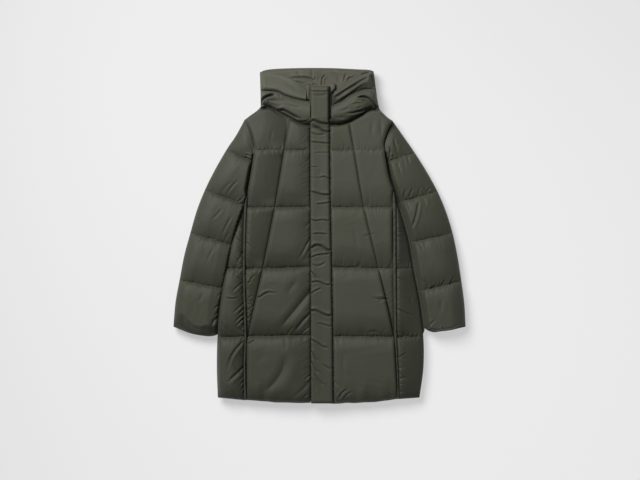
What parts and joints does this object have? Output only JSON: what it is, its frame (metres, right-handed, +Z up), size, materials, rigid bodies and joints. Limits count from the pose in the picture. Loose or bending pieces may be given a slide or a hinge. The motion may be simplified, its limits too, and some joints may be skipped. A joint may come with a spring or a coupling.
{
  "type": "long hooded puffer coat",
  "caption": "Long quilted puffer coat with a hood, laid flat on its back: padded fronts with slanted seams, side strips, a covered front placket and full sleeves",
  "frame": {"origin": "on the floor, below the middle of the coat's length and of its width from cuff to cuff", "axes": "+Z up from the floor, +Y from the hem to the hood, +X toward the wearer's left sleeve"},
  "size_m": [0.8776, 1.0049, 0.071],
  "materials": {
    "shell": "dark olive grey nylon, satin matt, padded and quilted",
    "trim": "dark olive grey nylon, satin matt, lightly padded",
    "inner": "dark olive grey nylon, a little warmer, satin matt"
  },
  "bodies": {
    "root": {"back": "shell", "front_centre_right": "shell", "front_centre_left": "shell", "front_side_right": "shell", "front_side_left": "shell", "side_panel_right": "shell", "side_panel_left": "shell", "side_strip_right": "trim", "side_strip_left": "trim", "placket": "trim", "stand_collar": "inner", "collar_right": "shell", "collar_left": "shell", "hood_side_right": "shell", "hood_side_left": "shell", "hood_back": "inner", "sleeve_right": "shell", "sleeve_left": "shell"}
  },
  "joints": []
}
